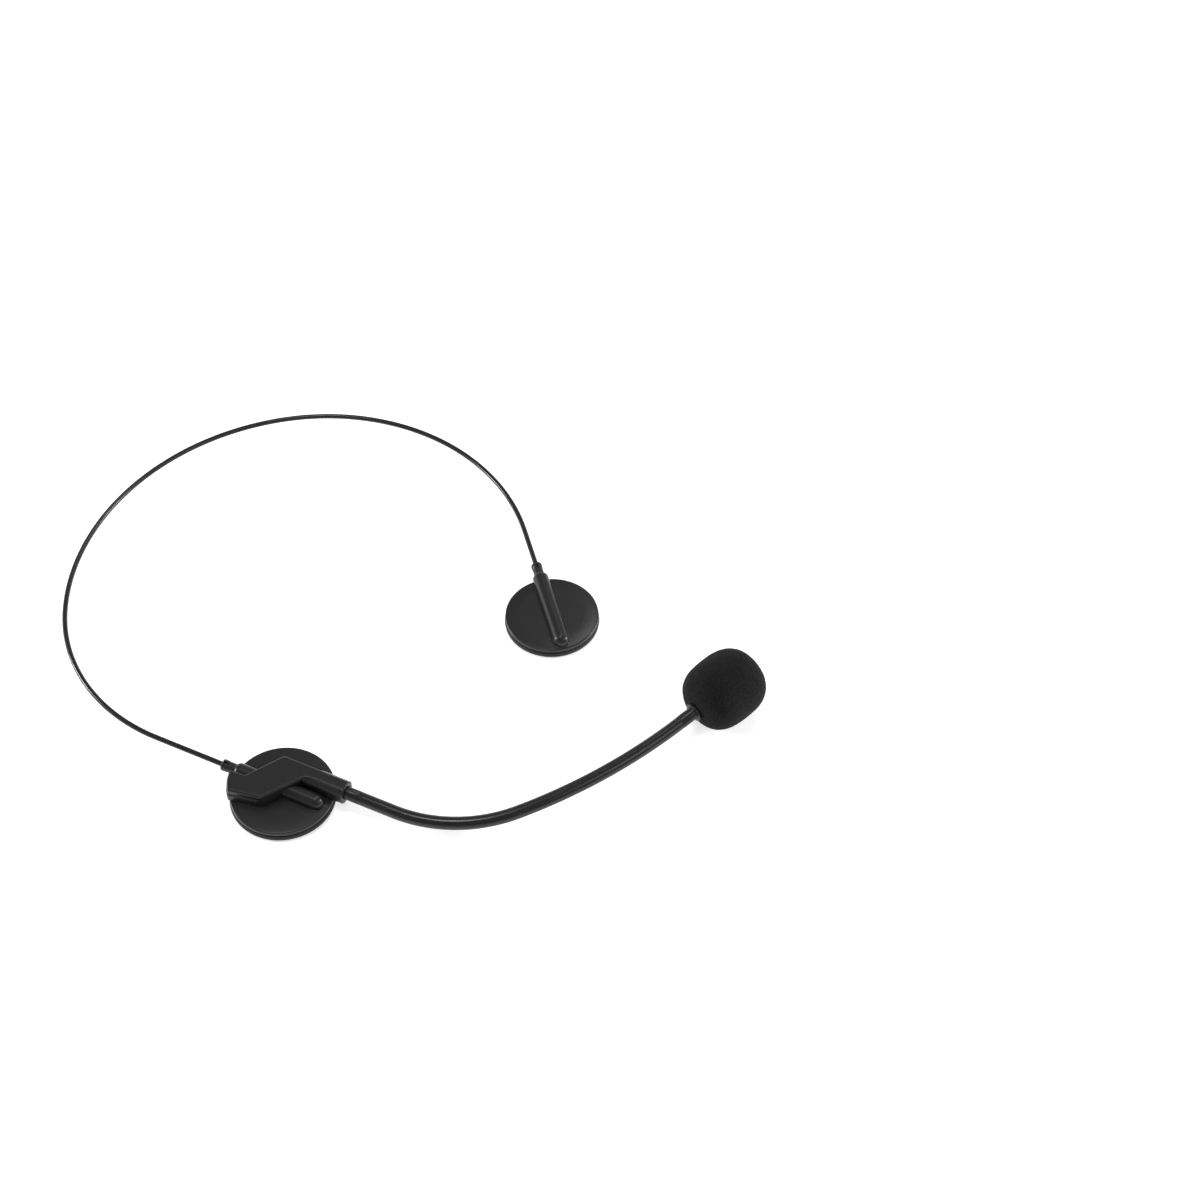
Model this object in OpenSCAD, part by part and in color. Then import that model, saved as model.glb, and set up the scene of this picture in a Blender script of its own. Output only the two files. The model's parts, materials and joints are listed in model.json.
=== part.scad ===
// Headset microphone for the stage: an open ring of sprung wire with a round pad at each end. One pad carries a
// Z-shaped bracket with a socket, and a bendable boom in that socket holds the microphone in its foam windscreen.
// The origin is the centre of the boom pad's cushion face. +Z points out of the head, away from that face,
// and +X runs along the pad's tube, away from the wire.

/* [Headband] */
// Spring wire diameter
wire_d = 1.5; // [1:0.1:2.5]
// Outside diameter of the sleeve on the wire
wire_sleeve_d = 2.2; // [1.6:0.1:3.2]
// Straight wire outside the boom pad's collar
straight_at_boom_pad = 31.5; // [10:0.5:45]
// First bend: radius
bend_1_r = 82.6; // [60:0.1:130]
// First bend: turn in degrees
bend_1_turn = 58.6; // [40:0.1:90]
// Second bend, at the crown: radius
bend_2_r = 104.8; // [60:0.1:130]
// Second bend: turn in degrees
bend_2_turn = 83.4; // [40:0.1:100]
// Third bend: radius
bend_3_r = 94.4; // [60:0.1:130]
// Third bend: turn in degrees
bend_3_turn = 87.6; // [40:0.1:100]
// Straight wire outside the plain pad's collar
straight_at_plain_pad = 21; // [10:1:40]

/* [Pads] */
// Diameter of the boom side's pad
boom_pad_d = 42.5; // [34:0.5:50]
// Diameter of the plain pad
plain_pad_d = 40; // [34:0.5:50]
// Cushion thickness
cushion_h = 2.8; // [2:0.1:6]
// Adhesive disc thickness
tape_h = 0.4; // [0.2:0.1:1]
// How far the adhesive disc stands in from the edge
tape_inset = 0.8; // [0.3:0.1:2]
// Plate thickness
plate_h = 2.2; // [1.5:0.1:4]
// Radius of the plate's upper edge
plate_round = 0.6; // [0.3:0.1:1.5]
// Outside diameter of the tube across each plate
tube_d = 6.8; // [5:0.1:9]
// From the pad's centre back to the tube's mouth
tube_mouth = 21.4; // [18:0.1:26]
// From the pad's centre to the tip of the tube's dome
tube_tip = 18.8; // [14:0.1:22]
// Collar diameter
collar_d = 4.8; // [3.6:0.1:6]
// Length of the collar outside the tube
collar_out = 5.8; // [3:0.1:8]

/* [Boom bracket] */
// Height of the bracket's flat top over the plate
bracket_h = 6.2; // [5.6:0.1:9]
// Sideways distance from the pad's tube to the boom socket
socket_y = 8.3; // [8:0.1:12]
// Outside diameter of the socket arm
socket_arm_d = 8.6; // [8:0.1:11]
// From the pad's centre to the socket's mouth
socket_mouth = 24.8; // [22:0.1:32]

/* [Boom] */
// Boom diameter
boom_d = 5.4; // [4:0.1:8]
// Bendable core wire diameter
core_d = 1.96; // [1:0.02:3]
// From the pad's centre to the start of the boom's bend
boom_bend_start = 46; // [38:0.1:60]
// Radius of the boom's main bend
boom_bend_r = 60; // [40:0.5:90]
// Turn of the main bend in degrees
boom_bend_turn = 48; // [20:1:80]
// Radius of the long gentle bend
boom_sweep_r = 235; // [150:1:600]
// Turn of the gentle bend in degrees
boom_sweep_turn = 18.5; // [5:0.1:30]

/* [Microphone] */
// Windscreen diameter
foam_d = 29.4; // [20:0.1:45]
// Windscreen length
foam_len = 32; // [20:0.5:50]
// Squareness of the windscreen's outline: 2 is an ellipse
foam_square = 2.8; // [2:0.1:4]
// Capsule housing diameter
housing_d = 7.2; // [6:0.1:10]
// Flange diameter at the windscreen's foot
flange_d = 7.8; // [7:0.1:12]

/* [Hidden] */
$fn = 96;
round_fn = 32;                  // segments round a wire's or a boom's section
run_fit = 0.05;                 // radial clearance where one piece turns or slides in another
seat_fit = 0.02;                // radial clearance where a piece is seated for good
end_play = 0.1;
seam_gap = 0.01;
seam_len = 0.6;
cut = 0.5;                      // overrun of a cutting shape past the face that it cuts
hard_black = "#1d1d1e";
gloss_black = "#101011";
soft_black = "#262627";
foam_black = "#1a1a1b";
steel = "#8c8e90";

// heights, from the cushion's face
plate_z = cushion_h + tape_h;
plate_top = plate_z + plate_h;
tube_z = plate_top + 0.7;       // the tube is sunk into the plate, whose underside stays flat
bracket_top = plate_top + bracket_h;
socket_z = bracket_top - socket_arm_d / 2;

// the wire's way into a pad, measured along the tube from the pad's centre
collar_tip = tube_mouth + collar_out;
collar_seat = 6;                // depth of the collar inside the tube
seat_d = collar_d - 0.6;        // diameter of the collar's seat, which steps down inside the tube
stop_out = tube_mouth - collar_seat;
stop_len = 2.4;
stop_d = 3.2;
wire_end = 12;                  // how far past the pad's centre the wire reaches

// the ring, from the boom pad's collar round to the plain pad's; it turns to the right all the way
function dir(a) = [cos(a), sin(a)];
head_0 = 180;
head_1 = head_0 - bend_1_turn;
head_2 = head_1 - bend_2_turn;
head_3 = head_2 - bend_3_turn;
ring_0 = [-collar_tip - straight_at_boom_pad, 0];
centre_1 = ring_0 + bend_1_r * dir(head_0 - 90);
ring_1 = centre_1 + bend_1_r * dir(head_1 + 90);
centre_2 = ring_1 + bend_2_r * dir(head_1 - 90);
ring_2 = centre_2 + bend_2_r * dir(head_2 + 90);
centre_3 = ring_2 + bend_3_r * dir(head_2 - 90);
ring_3 = centre_3 + bend_3_r * dir(head_3 + 90);
plain_pad = ring_3 + (straight_at_plain_pad + collar_tip) * dir(head_3);

// the boom lies in a plane through the socket's axis, tipped so that the windscreen rests level with the pads
bend_start = [boom_bend_start, 0];
bend_centre = bend_start + [0, boom_bend_r];
sweep_start = bend_centre + boom_bend_r * dir(boom_bend_turn - 90);
sweep_centre = sweep_start + boom_sweep_r * dir(boom_bend_turn + 90);
tip_head = boom_bend_turn + boom_sweep_turn;
tip = sweep_centre + boom_sweep_r * dir(tip_head - 90);
neck_len = 7;
flange_h = 1.2;
foam_gap = 0.2;                 // between the flange and the windscreen's foot
foam_foot = neck_len + flange_h + foam_gap;
foam_centre = tip + (foam_foot + foam_len / 2) * dir(tip_head);
tilt_rise = 0.15;               // keeps the tilted windscreen's lower edge out of the pads' resting plane
boom_tip_up = asin((foam_d / 2 + tilt_rise - socket_z) / foam_centre.y);
socket_depth = 16;
pin_d = 3;                      // the boom's pin, over the plate
disc_clear = 20;                // how far from the pad's centre the boom's full diameter stays clear of the plate
ferrule_out = 6.2;              // length of ferrule that shows at the socket
spigot_d = 3.6;
spigot_len = 5;
capsule_d = 6;
capsule_h = 6;
housing_len = 16.8;             // beyond the flange
housing_end = neck_len + flange_h + housing_len;
grille_h = 0.9;
peg_d = 3;
stem_d = 4;                     // the neck's stem inside the capsule housing
stem_len = 2.8;
core_short = 1;                 // how far the core wire stops short of the neck's end
peg_spots = [[-12.2, -8.5], [2.6, 8.4]];

// ---------- shared shapes ----------

module ring_profile(outer_d, inner_d) {
    difference() {
        circle(d = outer_d, $fn = round_fn);
        if (inner_d > 0) circle(d = inner_d, $fn = round_fn);
    }
}

// a tube bent round a centre, from one bearing to a larger one; it stops a hair short at each end
module bend(centre, r, from, to) {
    trim = seam_gap / r * 180 / PI;
    translate(centre)
        rotate([0, 0, from + trim])
            rotate_extrude(angle = to - from - 2 * trim)
                translate([r, 0])
                    children();
}

// a ring a hair thicker than the tube's wall, which closes the joint between two stretches of one tube
module seam(at, heading, outer_d, inner_d) {
    straight(at - seam_len / 2 * dir(heading), heading, seam_len)
        ring_profile(outer_d + 2 * seam_gap, inner_d - (inner_d > 0 ? 2 * seam_gap : 0));
}

// a straight tube that starts at a point and runs along a heading
module straight(from, heading, length) {
    translate(from)
        rotate([0, 90, heading])
            linear_extrude(height = length)
                children();
}

// the whole open ring, which runs on into each pad's tube by the given length
module ring_run(outer_d, inner_d, into_pad) {
    translate([0, 0, tube_z]) {
        straight(ring_0, 0, straight_at_boom_pad + into_pad) ring_profile(outer_d, inner_d);
        bend(centre_1, bend_1_r, head_1 + 90, head_0 + 90) ring_profile(outer_d, inner_d);
        bend(centre_2, bend_2_r, head_2 + 90, head_1 + 90) ring_profile(outer_d, inner_d);
        bend(centre_3, bend_3_r, head_3 + 90, head_2 + 90) ring_profile(outer_d, inner_d);
        straight(ring_3, head_3, straight_at_plain_pad + into_pad) ring_profile(outer_d, inner_d);
        seam(ring_0, head_0, outer_d, inner_d);
        seam(ring_1, head_1, outer_d, inner_d);
        seam(ring_2, head_2, outer_d, inner_d);
        seam(ring_3, head_3, outer_d, inner_d);
    }
}

// places a boom-side shape at the plain pad
module at_plain_pad() {
    translate(plain_pad)
        rotate([0, 0, head_3])
            children();
}

module tube_bore(from, to, d) {
    translate([from, 0, tube_z])
        rotate([0, 90, 0])
            cylinder(d = d, h = to - from);
}

module wire_stop() {
    difference() {
        tube_bore(-stop_out + end_play, -stop_out + end_play + stop_len, stop_d);
        tube_bore(-stop_out - cut, -stop_out + stop_len + cut, wire_d + 2 * seat_fit);
    }
}

// a disc with a tube moulded across its outer face, flat underneath
module pad_plate(d) {
    mouth_round = 0.9;
    difference() {
        union() {
            rotate_extrude()
                difference() {
                    union() {
                        translate([0, plate_z]) square([d / 2, plate_h - plate_round]);
                        translate([0, plate_z]) square([d / 2 - plate_round, plate_h]);
                        translate([d / 2 - plate_round, plate_top - plate_round]) circle(r = plate_round);
                    }
                    translate([-d, 0]) square([d, 3 * plate_top]);
                }
            tube_bore(-tube_mouth + mouth_round, tube_tip - tube_d / 2, tube_d);
            tube_bore(-tube_mouth, -tube_mouth + mouth_round, tube_d - 2 * mouth_round);
            translate([tube_tip - tube_d / 2, 0, tube_z]) sphere(d = tube_d);
            translate([-tube_mouth + mouth_round, 0, tube_z])
                rotate([0, -90, 0])
                    rotate_extrude()
                        intersection() {
                            translate([tube_d / 2 - mouth_round, 0]) circle(r = mouth_round);
                            square(tube_d);
                        }
        }
        translate([-d, -d, plate_z - tube_d]) cube([2 * d, 2 * d, tube_d]);
        tube_bore(-tube_mouth - cut, -stop_out, seat_d);
        tube_bore(-stop_out - cut, -stop_out + stop_len + 2 * end_play, stop_d + 2 * run_fit);
        tube_bore(-stop_out, wire_end + end_play, wire_d + 2 * run_fit);
    }
}

// a split bush: the collar proper outside the tube, and its seat inside
module pad_collar() {
    slot_w = 1.6;
    slot_len = collar_out - 1;
    difference() {
        union() {
            tube_bore(-collar_tip, -tube_mouth, collar_d);
            tube_bore(-tube_mouth - cut, -stop_out, seat_d - 2 * seat_fit);
        }
        tube_bore(-collar_tip - cut, -stop_out + cut, wire_sleeve_d + 2 * run_fit);
        translate([-collar_tip - cut, -slot_w / 2, tube_z]) cube([slot_len + cut, slot_w, collar_d]);
    }
}

module pad_tape(d) {
    translate([0, 0, cushion_h]) cylinder(d = d - 2 * tape_inset, h = tape_h);
}

module pad_cushion(d) {
    edge = 0.6;
    rotate_extrude() {
        square([d / 2 - edge, cushion_h]);
        translate([0, edge]) square([d / 2, cushion_h - 2 * edge]);
        translate([d / 2 - edge, edge]) circle(r = edge);
        translate([d / 2 - edge, cushion_h - edge]) circle(r = edge);
    }
}

// ---------- headband ----------

module band_wire() {
    color(steel) ring_run(wire_d, 0, collar_tip + wire_end);
}

module band_sleeve() {
    color(gloss_black) ring_run(wire_sleeve_d, wire_d + 2 * seat_fit, collar_tip - stop_out + end_play);
}

module wire_stop_boom_side() {
    color(steel) wire_stop();
}

module wire_stop_plain_side() {
    color(steel) at_plain_pad() wire_stop();
}

// ---------- boom pad ----------

module boom_pad_plate() {
    color(hard_black)
        difference() {
            pad_plate(boom_pad_d);
            for (spot = peg_spots)
                translate([spot.x, spot.y, plate_z - cut]) cylinder(d = peg_d + 2 * seat_fit, h = plate_h + 2 * cut);
        }
}

module boom_pad_collar() {
    color(hard_black) pad_collar();
}

module boom_pad_tape() {
    color(soft_black) pad_tape(boom_pad_d);
}

module boom_pad_cushion() {
    color(soft_black) pad_cushion(boom_pad_d);
}

// ---------- bracket ----------

function arc(centre, r, from, to, steps) =
    [for (i = [0 : steps]) centre + r * dir(from + (to - from) * i / steps)];

function unit(v) = v / norm(v);

// the points of a rounded corner at p, which lies between a and b
function corner(a, p, b, r, steps = 6) =
    let (
        u = unit(a - p),
        v = unit(b - p),
        half = acos(u * v) / 2,
        centre = p + r / sin(half) * unit(u + v),
        first = p + r / tan(half) * u - centre,
        last = p + r / tan(half) * v - centre,
        turn = atan2(cross(first, last), first * last) / steps
    )
    [for (i = [0 : steps]) centre + first * cos(turn * i) + [-first.y, first.x] * sin(turn * i)];

// plan of the Z: foot on the near side, wide diagonal over the tube, root of the socket arm on the far side
module bracket_plan() {
    foot_r = 20.8;
    near_end = foot_r * dir(217);
    far_end = foot_r * dir(192);
    near_corner = [-3.3, -10.1];
    foot_inner = [-13.9, -4];
    arm_outer = [-4.6, socket_y + 2.4];
    arm_inner = [7.5, socket_y - 2.5];
    root = [[12, arm_outer.y], [12, arm_inner.y]];
    polygon(concat(
        arc([0, 0], foot_r, 217, 192, 12),
        corner(far_end, foot_inner, arm_outer, 2),
        corner(foot_inner, arm_outer, root[0], 1.4),
        root,
        corner(root[1], arm_inner, near_corner, 3),
        corner(arm_inner, near_corner, near_end, 0.6)
    ));
}

module bracket_arm() {
    flat_w = 5.2;
    round_len = 2.6;
    arm_from = 4;
    translate([arm_from, socket_y, socket_z])
        rotate([0, 90, 0])
            cylinder(d = socket_arm_d, h = socket_mouth - arm_from);
    translate([arm_from, socket_y - flat_w / 2, socket_z])
        cube([socket_mouth - arm_from, flat_w, socket_arm_d / 2]);
    // square below, up to the round mouth
    translate([arm_from, socket_y - socket_arm_d / 2, socket_z - socket_arm_d / 2])
        cube([socket_mouth - round_len - arm_from, socket_arm_d, socket_arm_d / 2]);
}

module boom_bracket() {
    tube_gap = 0.15;
    wall = 1.5;
    pocket_h = bracket_h - wall;
    peg_wall = 0.8;
    rim_gap = 0.2;
    color(hard_black)
        difference() {
            union() {
                translate([0, 0, plate_top]) linear_extrude(height = bracket_h) bracket_plan();
                difference() {
                    bracket_arm();
                    cylinder(d = boom_pad_d + 2 * rim_gap, h = plate_top);
                }
                for (spot = peg_spots)
                    translate([spot.x, spot.y, plate_z]) cylinder(d = peg_d, h = plate_h + wall);
            }
            // channel over the pad's tube
            tube_bore(-boom_pad_d, boom_pad_d, tube_d + 2 * tube_gap);
            translate([-boom_pad_d, -tube_d / 2 - tube_gap, 0]) cube([2 * boom_pad_d, tube_d + 2 * tube_gap, tube_z]);
            // hollow under the foot, round its peg
            difference() {
                translate([0, 0, plate_top - cut])
                    linear_extrude(height = pocket_h + cut)
                        polygon([[-17.8, -5.8], [-9.5, -5.8], [-5.2, -9.4], [-14.9, -11]]);
                translate([peg_spots[0].x, peg_spots[0].y, 0]) cylinder(d = peg_d + 2 * peg_wall, h = bracket_top);
            }
            // stepped socket for the boom: its narrow part passes over the plate
            translate([socket_mouth - socket_depth, socket_y, socket_z])
                rotate([0, 90, 0])
                    cylinder(d = pin_d + 2 * run_fit, h = socket_depth);
            translate([disc_clear - end_play, socket_y, socket_z])
                rotate([0, 90, 0])
                    cylinder(d = boom_d + 2 * run_fit, h = socket_mouth);
        }
}

// ---------- plain pad ----------

module plain_pad_plate() {
    color(hard_black) at_plain_pad() pad_plate(plain_pad_d);
}

module plain_pad_collar() {
    color(hard_black) at_plain_pad() pad_collar();
}

module plain_pad_tape() {
    color(soft_black) at_plain_pad() pad_tape(plain_pad_d);
}

module plain_pad_cushion() {
    color(soft_black) at_plain_pad() pad_cushion(plain_pad_d);
}

// ---------- boom ----------

// the boom's own plane, with x along the socket
module boom_plane() {
    translate([0, socket_y, socket_z])
        rotate([boom_tip_up, 0, 0])
            children();
}

// z runs along the microphone's axis from the end of the boom sleeve
module at_tip() {
    boom_plane()
        translate(tip)
            rotate([0, 90, tip_head])
                children();
}

ferrule_in = socket_mouth - socket_depth + end_play;
ferrule_end = socket_mouth + ferrule_out;
core_in = ferrule_in + 3;

module boom_ferrule() {
    color(hard_black)
        boom_plane()
            difference() {
                union() {
                    straight([ferrule_in, 0], 0, disc_clear - ferrule_in) circle(d = pin_d);
                    straight([disc_clear, 0], 0, ferrule_end - disc_clear) circle(d = boom_d);
                    straight([ferrule_end, 0], 0, spigot_len) circle(d = spigot_d);
                }
                straight([core_in, 0], 0, boom_bend_start) circle(d = core_d + 2 * seat_fit);
            }
}

module boom_run(from, outer_d, inner_d) {
    straight([from, 0], 0, boom_bend_start - from) ring_profile(outer_d, inner_d);
    bend(bend_centre, boom_bend_r, -90, boom_bend_turn - 90) ring_profile(outer_d, inner_d);
    bend(sweep_centre, boom_sweep_r, boom_bend_turn - 90, tip_head - 90) ring_profile(outer_d, inner_d);
    seam(bend_start, 0, outer_d, inner_d);
    seam(sweep_start, boom_bend_turn, outer_d, inner_d);
}

module boom_sleeve() {
    color(gloss_black)
        difference() {
            boom_plane() boom_run(ferrule_end, boom_d, core_d + 2 * seat_fit);
            boom_plane() straight([ferrule_end - cut, 0], 0, spigot_len + cut) circle(d = spigot_d + 2 * seat_fit);
            at_tip() translate([0, 0, -spigot_len]) cylinder(d = spigot_d + 2 * seat_fit, h = spigot_len + cut);
        }
}

module boom_core() {
    color(steel)
        boom_plane() {
            boom_run(core_in, core_d, 0);
            seam(tip, tip_head, core_d, 0);
            straight(tip + seam_gap * dir(tip_head), tip_head, neck_len - core_short) circle(d = core_d, $fn = round_fn);
        }
}

// ---------- microphone ----------

module mic_neck() {
    color(hard_black)
        at_tip()
            difference() {
                union() {
                    translate([0, 0, -spigot_len]) cylinder(d = spigot_d, h = spigot_len + cut);
                    cylinder(d = boom_d, h = neck_len);
                    cylinder(d = stem_d, h = neck_len + stem_len);
                }
                translate([0, 0, -spigot_len - cut])
                    cylinder(d = core_d + 2 * seat_fit, h = spigot_len + neck_len + cut - core_short + end_play);
            }
}

module capsule_housing() {
    rear_wall = 3;
    ledge_d = 5;
    color(hard_black)
        at_tip()
            translate([0, 0, neck_len])
                difference() {
                    union() {
                        cylinder(d = flange_d, h = flange_h);
                        cylinder(d = housing_d, h = flange_h + housing_len);
                    }
                    translate([0, 0, -cut]) cylinder(d = stem_d + 2 * seat_fit, h = rear_wall + 2 * cut);
                    translate([0, 0, rear_wall]) cylinder(d = ledge_d, h = housing_len);
                    translate([0, 0, flange_h + housing_len - grille_h - capsule_h])
                        cylinder(d = capsule_d + 2 * seat_fit, h = grille_h + capsule_h + cut);
                }
}

module mic_capsule() {
    color(steel)
        at_tip()
            translate([0, 0, housing_end - grille_h - capsule_h])
                cylinder(d = capsule_d, h = capsule_h);
}

module capsule_grille() {
    hole_d = 0.9;
    hole_ring = 1.9;
    color(hard_black)
        at_tip()
            translate([0, 0, housing_end - grille_h])
                difference() {
                    cylinder(d = capsule_d, h = grille_h);
                    translate([0, 0, -cut]) cylinder(d = hole_d, h = grille_h + 2 * cut, $fn = 24);
                    for (i = [0 : 5])
                        rotate([0, 0, 60 * i])
                            translate([hole_ring, 0, -cut]) cylinder(d = hole_d, h = grille_h + 2 * cut, $fn = 24);
                }
}

module windscreen() {
    steps = 36;
    free_end = 2;                   // empty bore beyond the housing's end
    bore_depth = housing_end - foam_foot + free_end;
    color(foam_black)
        at_tip()
            translate([0, 0, foam_foot])
                difference() {
                    rotate_extrude()
                        polygon([for (i = [0 : steps])
                            let (a = 180 * i / steps)
                            [foam_d / 2 * pow(sin(a), 2 / foam_square),
                             foam_len / 2 * (1 - sign(cos(a)) * pow(abs(cos(a)), 2 / foam_square))]]);
                    translate([0, 0, -cut]) cylinder(d = housing_d + 2 * run_fit, h = bore_depth + cut);
                }
}

band_wire();
band_sleeve();
wire_stop_boom_side();
wire_stop_plain_side();
boom_pad_plate();
boom_pad_collar();
boom_pad_tape();
boom_pad_cushion();
boom_bracket();
plain_pad_plate();
plain_pad_collar();
plain_pad_tape();
plain_pad_cushion();
boom_ferrule();
boom_sleeve();
boom_core();
mic_neck();
capsule_housing();
mic_capsule();
capsule_grille();
windscreen();
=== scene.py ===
"""A headset microphone on a pale studio floor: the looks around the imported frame.

Pieces are drawn in millimetres, in the part's own frame, and make() turns them into metres. The camera, the
lamps and the floor are in metres. The hard pieces and the foam are described by distance functions, which
surface_net() turns into meshes. The wire and the boom are swept along their routes, and the round pieces are
turned.
"""

import itertools
import json
import math

import bpy
import numpy as np
from mathutils import Matrix, Vector


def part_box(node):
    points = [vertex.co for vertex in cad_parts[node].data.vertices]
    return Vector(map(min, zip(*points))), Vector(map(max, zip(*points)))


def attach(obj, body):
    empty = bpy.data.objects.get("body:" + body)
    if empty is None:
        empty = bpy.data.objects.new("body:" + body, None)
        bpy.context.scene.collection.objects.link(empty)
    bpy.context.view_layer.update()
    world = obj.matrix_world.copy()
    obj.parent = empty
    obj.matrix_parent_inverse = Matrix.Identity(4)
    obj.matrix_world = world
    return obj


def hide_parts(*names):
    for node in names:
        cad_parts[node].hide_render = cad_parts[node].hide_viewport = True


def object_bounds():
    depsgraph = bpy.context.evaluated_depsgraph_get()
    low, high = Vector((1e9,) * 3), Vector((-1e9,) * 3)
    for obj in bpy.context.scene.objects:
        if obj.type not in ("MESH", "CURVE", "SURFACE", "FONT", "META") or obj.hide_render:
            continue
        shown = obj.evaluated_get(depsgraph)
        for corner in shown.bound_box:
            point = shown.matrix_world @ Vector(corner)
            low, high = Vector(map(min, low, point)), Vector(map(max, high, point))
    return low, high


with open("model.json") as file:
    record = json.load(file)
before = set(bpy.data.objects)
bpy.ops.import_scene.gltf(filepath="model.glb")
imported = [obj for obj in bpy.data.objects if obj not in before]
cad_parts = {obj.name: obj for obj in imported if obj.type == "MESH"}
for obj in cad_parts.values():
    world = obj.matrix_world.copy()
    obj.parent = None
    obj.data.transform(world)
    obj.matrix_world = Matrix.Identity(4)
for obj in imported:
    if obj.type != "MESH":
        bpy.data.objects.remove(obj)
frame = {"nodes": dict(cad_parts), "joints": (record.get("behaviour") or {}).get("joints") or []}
cad_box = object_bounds()
scene = bpy.context.scene
joints = {j["name"]: j for j in frame["joints"]}
MM = 0.001


def node_box(node):
    """Lowest and highest corner of a CAD node, in millimetres."""
    low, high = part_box(node)
    return np.array(low) / MM, np.array(high) / MM


def joint_place(name):
    """Where a joint's axis passes, in millimetres."""
    return np.array(joints[name]["pos_m"]) / MM


# ---------- sizes, as the part has them ----------

RUN_FIT = 0.05  # radial clearance where one piece turns or slides in another
SEAT_FIT = 0.02  # and where it is seated for good
END_PLAY = 0.1  # lengthwise clearance
WIRE_SLEEVE_D = 2.2
WIRE_BORE_D = 1.64  # the bore in a pad's tube where the wire has no sleeve
WIRE_END = 12.0  # how far past the pad's centre the wire reaches
TUBE_D = 6.8
TUBE_MOUTH = 21.4  # from the pad's centre to the tube's mouth
TUBE_TIP = 18.8  # and to the tip of its dome
COLLAR_D = 4.8
SEAT_D = COLLAR_D - 0.6  # the collar's seat, which steps down inside the tube
COLLAR_OUT = 5.8
COLLAR_SEAT = 6.0
CUSHION_H = 2.8
TAPE_INSET = 0.8  # how far the adhesive disc's edge stands in from the pad's
PLATE_Z = 3.2
PLATE_TOP = 5.4
TUBE_Z = joint_place("boom_pad_swivel")[2]
PLAIN_PAD = joint_place("plain_pad_swivel")
PLAIN_AXIS = np.array(joints["plain_pad_swivel"]["axis"])
SOCKET = joint_place("boom_twist")
SOCKET_D = 8.6  # outside diameter of the arm round the socket
SOCKET_MOUTH = 24.8
BRACKET_TOP = SOCKET[2] + SOCKET_D / 2
BOOM_D = 5.4
FERRULE_OUT = 6.2
PIN_D = 3.0  # the boom's pin, in the narrow part of its socket over the plate
DISC_CLEAR = 20.0  # where the socket widens to the boom's full diameter
SOCKET_DEPTH = 16.0
NECK_LEN = 7.0
FLANGE_D, FLANGE_H = 7.8, 1.2
HOUSING_D, HOUSING_LEN = 7.2, 16.8
CAPSULE_D, CAPSULE_H, GRILLE_H = 6.0, 6.0, 0.9
FOAM_D, FOAM_LEN, FOAM_SQUARE = 29.4, 32.0, 2.8
FOAM_GAP = 0.2  # between the flange and the foam's foot
FOAM_FOOT = NECK_LEN + FLANGE_H + FOAM_GAP
TILT_RISE = 0.15  # how far the tilted foam's middle is raised, to keep its lower edge off the floor

# the ring from the boom pad's collar to the plain pad's: its straight ends, then each bend's radius and turn
RING_STRAIGHTS = 31.5, 21.0
RING_BENDS = (82.6, 58.6), (104.8, 83.4), (94.4, 87.6)
# the boom in its own plane: where it starts to bend, then radius and turn of both bends
BOOM_STRAIGHT_TO = 46.0
BOOM_BENDS = (60.0, 48.0), (235.0, 18.5)


# ---------- camera and light ----------

VIEW_AZIMUTH, VIEW_ELEVATION = math.radians(25.2), math.radians(50)
VIEW_DISTANCE = 0.9412
VIEW_CENTRE = Vector((0.0703, 0.1462, 0))


def towards(azimuth, elevation):
    """Unit vector at an azimuth from -Y towards +X, and an elevation."""
    flat = math.cos(elevation)
    return Vector((math.sin(azimuth) * flat, -math.cos(azimuth) * flat, math.sin(elevation)))


def aim(thing, place, target):
    """Puts a camera or a lamp into the scene at a place, turned to a target."""
    thing.location = place
    thing.rotation_euler = (target - place).to_track_quat("-Z", "Y").to_euler()
    scene.collection.objects.link(thing)


camera = bpy.data.objects.new("camera", bpy.data.cameras.new("camera"))
camera.data.lens, camera.data.sensor_width = 66, 36
camera.data.clip_start, camera.data.clip_end = 0.02, 50
aim(camera, VIEW_CENTRE + VIEW_DISTANCE * towards(VIEW_AZIMUTH, VIEW_ELEVATION), VIEW_CENTRE)
scene.camera = camera


def softbox(name, side, height, distance, width, tall, watts):
    """An area lamp at an azimuth from the camera's own, aimed at the middle of the object."""
    lamp = bpy.data.lights.new(name, "AREA")
    lamp.shape, lamp.size, lamp.size_y, lamp.energy = "RECTANGLE", width, tall, watts
    direction = towards(VIEW_AZIMUTH + math.radians(side), math.radians(height))
    aim(bpy.data.objects.new(name, lamp), VIEW_CENTRE + distance * direction, VIEW_CENTRE)


softbox("softbox_left", -95, 16, 1.3, 0.3, 0.3, 10.5)
softbox("softbox_right", 95, 16, 1.3, 0.3, 0.3, 12)
softbox("softbox_back", 158, 60, 1.5, 0.4, 0.4, 3)
softbox("softbox_front", 54, 42, 1.4, 0.5, 0.5, 2)
softbox("softbox_top", -90, 79, 1.4, 0.34, 0.34, 4)


def wire_up(tree, kind, **values):
    """A new node with its inputs and properties set, or linked where the value is a socket."""
    node = tree.nodes.new(kind)
    for key, value in values.items():
        name = key.replace("_", " ")
        socket = next((s for s in node.inputs if s.name.lower() == name), None)
        if socket is None:
            setattr(node, key, value)
        elif isinstance(value, bpy.types.NodeSocket):
            tree.links.new(value, socket)
        else:
            socket.default_value = value
    return node


world = bpy.data.worlds.new("studio")
scene.world = world
world.use_nodes = True
tree = world.node_tree
tree.nodes.clear()
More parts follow.
